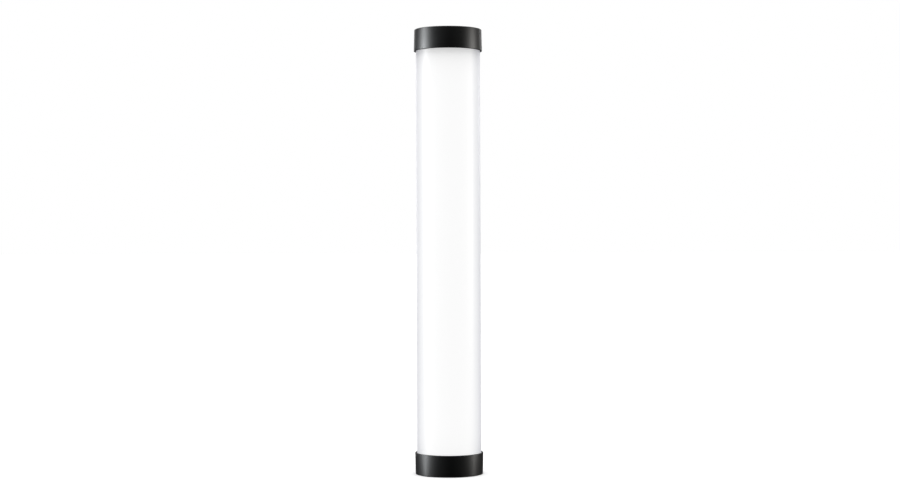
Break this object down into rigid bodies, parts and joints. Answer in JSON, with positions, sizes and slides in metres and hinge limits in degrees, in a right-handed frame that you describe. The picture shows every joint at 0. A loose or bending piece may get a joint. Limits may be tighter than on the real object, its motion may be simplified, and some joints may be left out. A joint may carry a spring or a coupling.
{
  "type": "led light tube",
  "caption": "Hand-held battery LED tube light with an opal diffuser, black end caps, threaded ends and a rear panel with buttons, a display and a covered charging port.",
  "frame": {"origin": "centre of the bottom of the lower end cap", "axes": "+Z along the tube towards the upper cap; the light shines towards -Y and the control panel faces +Y"},
  "size_m": [0.04, 0.04, 0.26],
  "materials": {
    "opal_diffuser": "opal, lit from inside",
    "black_cap": "satin moulded",
    "black_shell": "satin moulded",
    "black_screw": "black oxide",
    "extrusion": "clear anodised",
    "plate_metal": "machined",
    "steel_screw": "zinc plated",
    "insert_steel": "turned stainless",
    "seal_rubber": "silicone",
    "thermal_silicone": "soft pad",
    "white_board": "white solder mask",
    "led_body": "moulded",
    "phosphor": "phosphor gel",
    "white_sheet": "diffuse white",
    "lead_insulation": "silicone insulation",
    "cell_wrap": "heat-shrink wrap",
    "nickel": "plated strip",
    "green_board": "green solder mask",
    "black_inner_plastic": "moulded",
    "foam": "closed-cell foam",
    "ferrite": "ferrite",
    "capacitor_can": "drawn can",
    "chip_plastic": "epoxy",
    "connector_nylon": "nylon",
    "ribbon": "flat cable",
    "display_glass": "display glass",
    "smoked_window": "smoked acrylic",
    "port_metal": "stamped stainless",
    "clear_plastic": "clear moulded",
    "cover_rubber": "matt silicone",
    "button_plastic": "satin moulded",
    "plunger_plastic": "moulded"
  },
  "bodies": {
    "tube": {"diffuser": "opal_diffuser", "rear_housing": "black_shell", "bottom_cap": "black_cap", "top_cap": "black_cap", "bottom_cap_screws": "black_screw", "top_cap_screws": "black_screw", "housing_screws": "black_screw", "spine": "extrusion", "bottom_end_plate": "plate_metal", "top_end_plate": "plate_metal", "bottom_plate_screws": "steel_screw", "top_plate_screws": "steel_screw", "bottom_thread_insert": "insert_steel", "top_thread_insert": "insert_steel", "bottom_gasket": "seal_rubber", "top_gasket": "seal_rubber", "thermal_pad": "thermal_silicone", "led_board": "white_board", "led_packages": "led_body", "led_emitters": "phosphor", "reflector_sheet": "white_sheet", "led_board_screws": "steel_screw", "led_leads": "lead_insulation", "battery_cell_lower": "cell_wrap", "battery_cell_upper": "cell_wrap", "nickel_tabs": "nickel", "protection_board": "green_board", "battery_saddles": "black_inner_plastic", "battery_foam_pads": "foam", "battery_leads": "lead_insulation", "main_board": "green_board", "inductors": "ferrite", "capacitors": "capacitor_can", "driver_chips": "chip_plastic", "board_connectors": "connector_nylon", "control_board": "green_board", "control_board_screws": "steel_screw", "tact_switches": "chip_plastic", "control_ribbon": "ribbon", "display_holder": "black_inner_plastic", "display_panel": "display_glass", "display_window": "smoked_window", "usb_port_shell": "port_metal", "usb_port_tongue": "black_inner_plastic", "charge_led": "led_body", "charge_light_pipe": "clear_plastic", "port_cover_anchor": "cover_rubber"},
    "power_key": {"power_button": "button_plastic", "power_plunger": "plunger_plastic"},
    "menu_key": {"menu_button": "button_plastic", "menu_plunger": "plunger_plastic"},
    "plus_key": {"plus_button": "button_plastic", "plus_plunger": "plunger_plastic"},
    "minus_key": {"minus_button": "button_plastic", "minus_plunger": "plunger_plastic"},
    "cover": {"port_cover": "cover_rubber"}
  },
  "joints": [
    {"name": "power_press", "type": "slide", "parent": "tube", "child": "power_key", "axis": [0, -1, 0], "range_m": [0, 0.0004], "stiffness_N_per_m": 400},
    {"name": "menu_press", "type": "slide", "parent": "tube", "child": "menu_key", "axis": [0, -1, 0], "range_m": [0, 0.0004], "stiffness_N_per_m": 400},
    {"name": "plus_press", "type": "slide", "parent": "tube", "child": "plus_key", "axis": [0, -1, 0], "range_m": [0, 0.0004], "stiffness_N_per_m": 400},
    {"name": "minus_press", "type": "slide", "parent": "tube", "child": "minus_key", "axis": [0, -1, 0], "range_m": [0, 0.0004], "stiffness_N_per_m": 400},
    {"name": "cover_swing", "type": "hinge", "parent": "tube", "child": "cover", "pos_m": [0, 0.0167, 0.0302], "axis": [1, 0, 0], "range_deg": [0, 110]}
  ]
}
